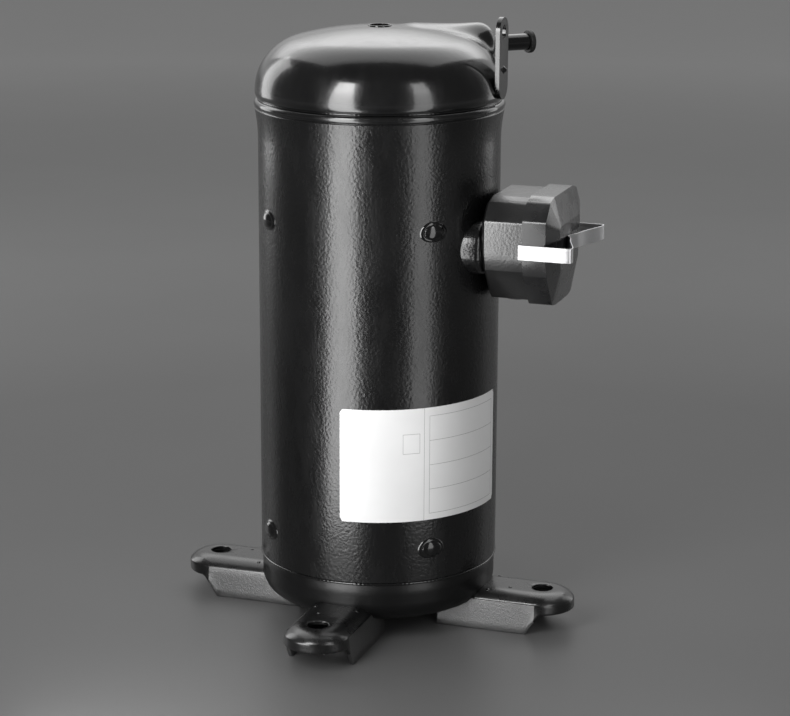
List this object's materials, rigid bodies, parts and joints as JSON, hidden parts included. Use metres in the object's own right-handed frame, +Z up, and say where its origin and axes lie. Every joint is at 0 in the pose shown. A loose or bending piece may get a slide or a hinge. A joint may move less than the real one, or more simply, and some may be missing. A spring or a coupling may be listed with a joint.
{
  "type": "hermetic_scroll_compressor",
  "caption": "Upright hermetic scroll refrigeration compressor in a glossy black welded shell, with stamped feet, lifting lug, clipped terminal box, bare label and plugged refrigerant tubes",
  "frame": {"origin": "axis of the shell, at the height of the underside of the feet's flat tops, where the feet rest on their four mounting points", "axes": "+Z up along the shell, +X towards the terminal box and the lifting lug, -Y towards the front foot; the discharge tube points between +X and +Y"},
  "size_m": [0.3247, 0.3194, 0.4698],
  "materials": {
    "black_paint": "gloss",
    "black_plastic": "gloss",
    "black_rubber": "satin",
    "label_film": "satin",
    "spring_steel": "bright",
    "plated_steel": "plated",
    "brass": "machined",
    "sealing_glass": "fused",
    "ivory_plastic": "moulded",
    "lead_insulation": "satin",
    "electrical_steel": "laminated",
    "enamelled_copper": "varnished",
    "cast_aluminium": "machined",
    "ground_steel": "ground",
    "grey_iron": "machined"
  },
  "bodies": {
    "housing": {"shell_tube": "black_paint", "top_cap": "black_paint", "bottom_cap": "black_paint", "seam_welds": "black_paint", "frame_plug_welds": "black_paint", "foot_front": "black_paint", "foot_right": "black_paint", "foot_back": "black_paint", "foot_left": "black_paint", "lifting_lug": "black_paint", "sensor_well": "black_paint", "discharge_tube": "black_paint", "suction_tube": "black_paint", "name_label": "label_film", "terminal_pad": "black_paint", "terminal_fence": "black_paint", "hermetic_terminal": "plated_steel", "terminal_pins": "brass", "terminal_glass": "sealing_glass", "earth_screw": "plated_steel", "cable_grommet": "black_rubber", "lead_connector": "ivory_plastic", "motor_leads": "lead_insulation", "stator_core": "electrical_steel", "stator_windings": "enamelled_copper", "motor_protector": "black_plastic", "thrust_plate": "ground_steel", "main_bearing": "brass", "main_frame": "grey_iron", "fixed_scroll": "grey_iron", "scroll_bolts": "ground_steel", "valve_stop": "ground_steel", "separator_plate": "ground_steel", "lower_frame": "grey_iron", "lower_bearing": "brass", "thrust_washer": "brass"},
    "crank": {"rotor_core": "electrical_steel", "rotor_cage": "cast_aluminium", "crankshaft": "ground_steel", "counterweights": "brass", "oil_pickup": "ground_steel", "drive_bush": "ground_steel"},
    "orbiter": {"orbiting_scroll": "cast_aluminium", "orbit_bearing": "brass"},
    "coupling_ring": {"oldham_ring": "cast_aluminium"},
    "valve": {"check_valve_disc": "ground_steel"},
    "clip": {"cover_clip": "spring_steel"},
    "cover": {"terminal_cover": "black_plastic", "cover_gasket": "black_rubber"},
    "discharge_cap": {"discharge_plug": "black_rubber"},
    "suction_cap": {"suction_plug": "black_rubber"}
  },
  "joints": [
    {"name": "crank_spin", "type": "hinge", "parent": "housing", "child": "crank", "pos_m": [0, 0, 0], "axis": [0, 0, 1], "continuous": true},
    {"name": "orbit_turn", "type": "hinge", "parent": "crank", "child": "orbiter", "pos_m": [0.00339, 0, 0], "axis": [0, 0, 1], "continuous": true},
    {"name": "oldham_slide", "type": "slide", "parent": "housing", "child": "coupling_ring", "axis": [0, 1, 0], "range_m": [-0.00339, 0.00339]},
    {"name": "valve_lift", "type": "slide", "parent": "housing", "child": "valve", "axis": [0, 0, 1], "range_m": [0, 0.003]},
    {"name": "clip_pull", "type": "slide", "parent": "housing", "child": "clip", "axis": [1, 0, 0], "range_m": [0, 0.09]},
    {"name": "cover_pull", "type": "slide", "parent": "housing", "child": "cover", "axis": [1, 0, 0], "range_m": [0, 0.05]},
    {"name": "discharge_plug_pull", "type": "slide", "parent": "housing", "child": "discharge_cap", "axis": [0.7071, 0.7071, 0], "range_m": [0, 0.03]},
    {"name": "suction_plug_pull", "type": "slide", "parent": "housing", "child": "suction_cap", "axis": [-0.7071, 0.7071, 0], "range_m": [0, 0.03]}
  ],
  "couplings": [
    {"joint": "orbit_turn", "follows": "crank_spin", "ratio": -1},
    {"joint": "cover_pull", "follows": "clip_pull", "ratio": 0.5}
  ]
}
